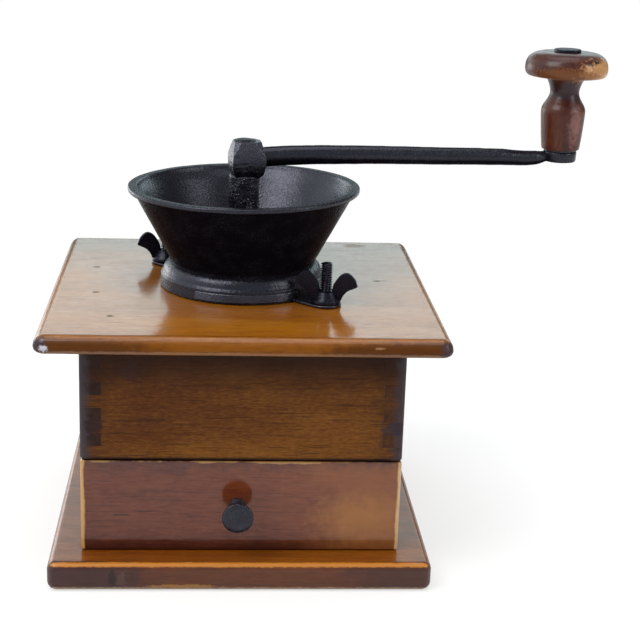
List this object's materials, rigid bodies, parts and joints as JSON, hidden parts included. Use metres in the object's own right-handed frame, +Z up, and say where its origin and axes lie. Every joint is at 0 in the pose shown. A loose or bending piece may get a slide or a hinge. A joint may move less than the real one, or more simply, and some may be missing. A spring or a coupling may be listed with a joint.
{
  "type": "manual coffee grinder",
  "caption": "Manual coffee grinder: open iron hopper on a varnished wooden case, with a front drawer, a side crank with a turned wooden grip and wing-nut clamps.",
  "frame": {"origin": "centre of the base board's underside, under the spindle", "axes": "-Y towards the drawer's front, +X towards the side where the crank rests, +Z up along the spindle"},
  "size_m": [0.3008, 0.2056, 0.2646],
  "materials": {
    "amber_wood": "glossy aged varnish, honey amber",
    "brown_wood": "satin aged varnish, brown",
    "red_wood": "glossy varnish, dark red-brown",
    "pale_wood": "bare wood",
    "black_iron": "black paint over cast and forged iron",
    "bare_steel": "bare steel",
    "burr_iron": "bare cast iron, ground teeth"
  },
  "bodies": {
    "case": {"base_board": "amber_wood", "side_wall_left": "brown_wood", "side_wall_right": "brown_wood", "rear_wall": "brown_wood", "front_rail": "brown_wood", "top_board": "amber_wood", "glue_block_left": "pale_wood", "glue_block_right": "pale_wood", "base_screw_1": "bare_steel", "base_screw_2": "bare_steel", "base_screw_3": "bare_steel", "base_screw_4": "bare_steel", "hopper": "black_iron", "outer_burr": "burr_iron", "bridge": "black_iron", "bridge_bolt_front": "black_iron", "bridge_bolt_rear": "black_iron"},
    "drawer": {"drawer_front": "red_wood", "drawer_side_left": "pale_wood", "drawer_side_right": "pale_wood", "drawer_back": "pale_wood", "drawer_bottom": "pale_wood", "drawer_knob": "black_iron", "knob_screw": "bare_steel"},
    "thrust_point": {"thrust_ball": "bare_steel"},
    "adjuster": {"adjusting_screw": "bare_steel"},
    "crank": {"crank_arm": "black_iron", "spindle": "black_iron", "inner_burr": "burr_iron", "burr_pin": "bare_steel", "grip_pin": "black_iron"},
    "crank_grip": {"grip": "red_wood", "grip_washer": "bare_steel"},
    "front_clamp_washer": {"washer_front": "bare_steel"},
    "front_clamp_nut": {"wing_nut_front": "black_iron"},
    "rear_clamp_washer": {"washer_rear": "bare_steel"},
    "rear_clamp_nut": {"wing_nut_rear": "black_iron"},
    "lock_plate": {"lock_washer": "bare_steel"},
    "lock": {"lock_nut": "bare_steel"}
  },
  "joints": [
    {"name": "drawer_slide", "type": "slide", "parent": "case", "child": "drawer", "axis": [0, -1, 0], "range_m": [0, 0.125]},
    {"name": "grind_lift", "type": "slide", "parent": "case", "child": "thrust_point", "axis": [0, 0, 1], "range_m": [-0.001, 0.001]},
    {"name": "adjuster_turn", "type": "hinge", "parent": "thrust_point", "child": "adjuster", "pos_m": [0, 0, 0.069], "axis": [0, 0, 1], "range_deg": [-290, 290]},
    {"name": "crank_turn", "type": "hinge", "parent": "thrust_point", "child": "crank", "pos_m": [0, 0, 0.15], "axis": [0, 0, 1], "continuous": true},
    {"name": "grip_turn", "type": "hinge", "parent": "crank", "child": "crank_grip", "pos_m": [0.17605, 0.02631, 0.236], "axis": [0, 0, 1], "continuous": true},
    {"name": "front_nut_rise", "type": "slide", "parent": "case", "child": "front_clamp_washer", "axis": [0, 0, 1], "range_m": [0, 0.0064]},
    {"name": "front_nut_turn", "type": "hinge", "parent": "front_clamp_washer", "child": "front_clamp_nut", "pos_m": [0.04273, -0.04126, 0.142], "axis": [0, 0, 1], "range_deg": [0, 1800]},
    {"name": "rear_nut_rise", "type": "slide", "parent": "case", "child": "rear_clamp_washer", "axis": [0, 0, 1], "range_m": [0, 0.0064]},
    {"name": "rear_nut_turn", "type": "hinge", "parent": "rear_clamp_washer", "child": "rear_clamp_nut", "pos_m": [-0.04273, 0.04126, 0.142], "axis": [0, 0, 1], "range_deg": [0, 1800]},
    {"name": "lock_drop", "type": "slide", "parent": "case", "child": "lock_plate", "axis": [0, 0, -1], "range_m": [0, 0.00255]},
    {"name": "lock_turn", "type": "hinge", "parent": "lock_plate", "child": "lock", "pos_m": [0, 0, 0.082], "axis": [0, 0, -1], "range_deg": [0, 720]}
  ],
  "couplings": [
    {"joint": "adjuster_turn", "follows": "grind_lift", "rad_per_m": 5026.5},
    {"joint": "front_nut_rise", "follows": "front_nut_turn", "m_per_rad": 0.00020213},
    {"joint": "rear_nut_rise", "follows": "rear_nut_turn", "m_per_rad": 0.00020213},
    {"joint": "lock_drop", "follows": "lock_turn", "m_per_rad": 0.00019894}
  ]
}
